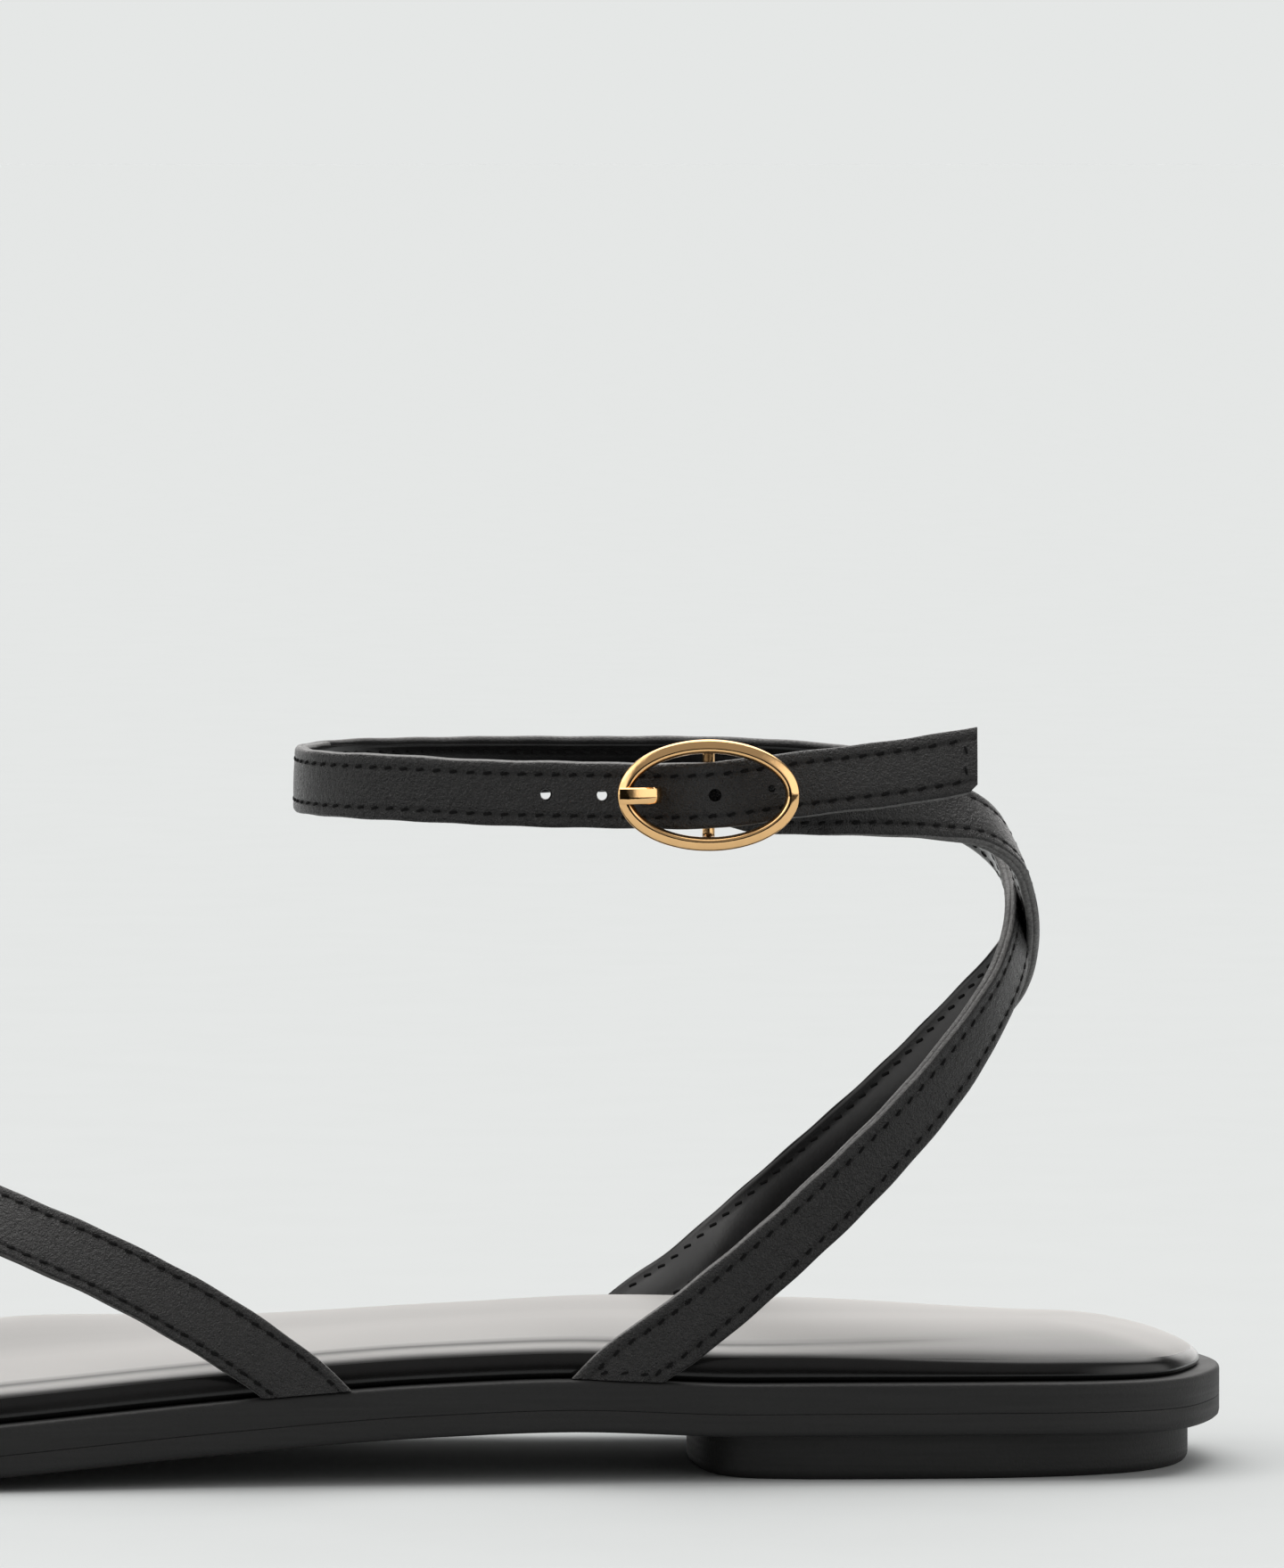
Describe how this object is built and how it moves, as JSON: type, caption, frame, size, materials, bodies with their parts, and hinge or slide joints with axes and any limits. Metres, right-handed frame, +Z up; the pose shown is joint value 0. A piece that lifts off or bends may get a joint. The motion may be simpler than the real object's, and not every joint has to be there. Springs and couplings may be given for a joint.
{
  "type": "strappy sandal",
  "caption": "Flat leather sandal for the left foot: padded insole on a layered sole with a low heel, a diagonal forefoot strap and crossed ankle straps with an oval buckle.",
  "frame": {"origin": "on the floor, under the middle of the sole's length and width", "axes": "+X towards the heel, -X towards the toe, +Y towards the inner side of the foot, -Y towards the outer side with the buckle, +Z up"},
  "size_m": [0.245, 0.0834, 0.0921],
  "materials": {
    "sole": "matte black",
    "insole": "smooth black, half gloss",
    "strap": "fine-grained black, satin",
    "metal": "polished gold plate"
  },
  "bodies": {
    "root": {"outsole": "sole", "midsole": "sole", "heel": "sole", "insole": "insole", "vamp_strap": "strap", "ankle_straps": "strap", "buckle": "metal", "buckle_prong": "metal"}
  },
  "joints": []
}
